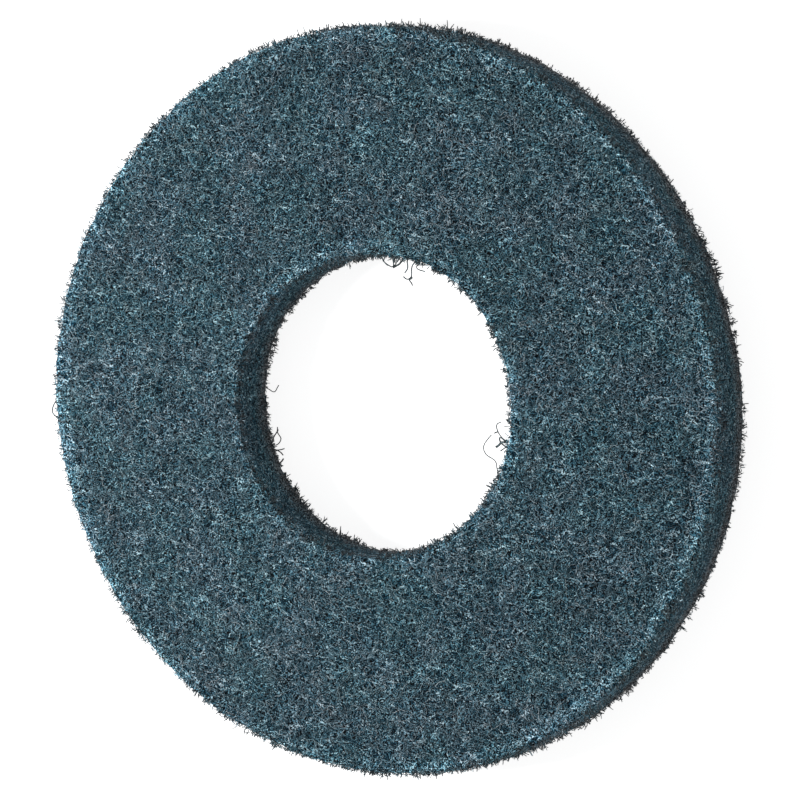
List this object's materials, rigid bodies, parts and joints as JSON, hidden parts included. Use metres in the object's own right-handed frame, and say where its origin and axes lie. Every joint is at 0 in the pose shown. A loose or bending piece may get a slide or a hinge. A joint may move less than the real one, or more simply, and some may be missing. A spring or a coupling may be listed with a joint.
{
  "type": "floor polishing pad",
  "caption": "Thick flat ring of springy nonwoven fibre web with a round centre hole, for polishing floors under a rotary machine.",
  "frame": {"origin": "middle of the face the pad lies on, on the axis of its round outline", "axes": "+Z through the thickness, from the face it lies on to the other face; +X and +Y in the pad's plane, with no feature that tells them apart"},
  "size_m": [0.241, 0.2402, 0.02],
  "materials": {
    "fibre_web": "matte"
  },
  "bodies": {
    "root": {"pad": "fibre_web"}
  },
  "joints": []
}
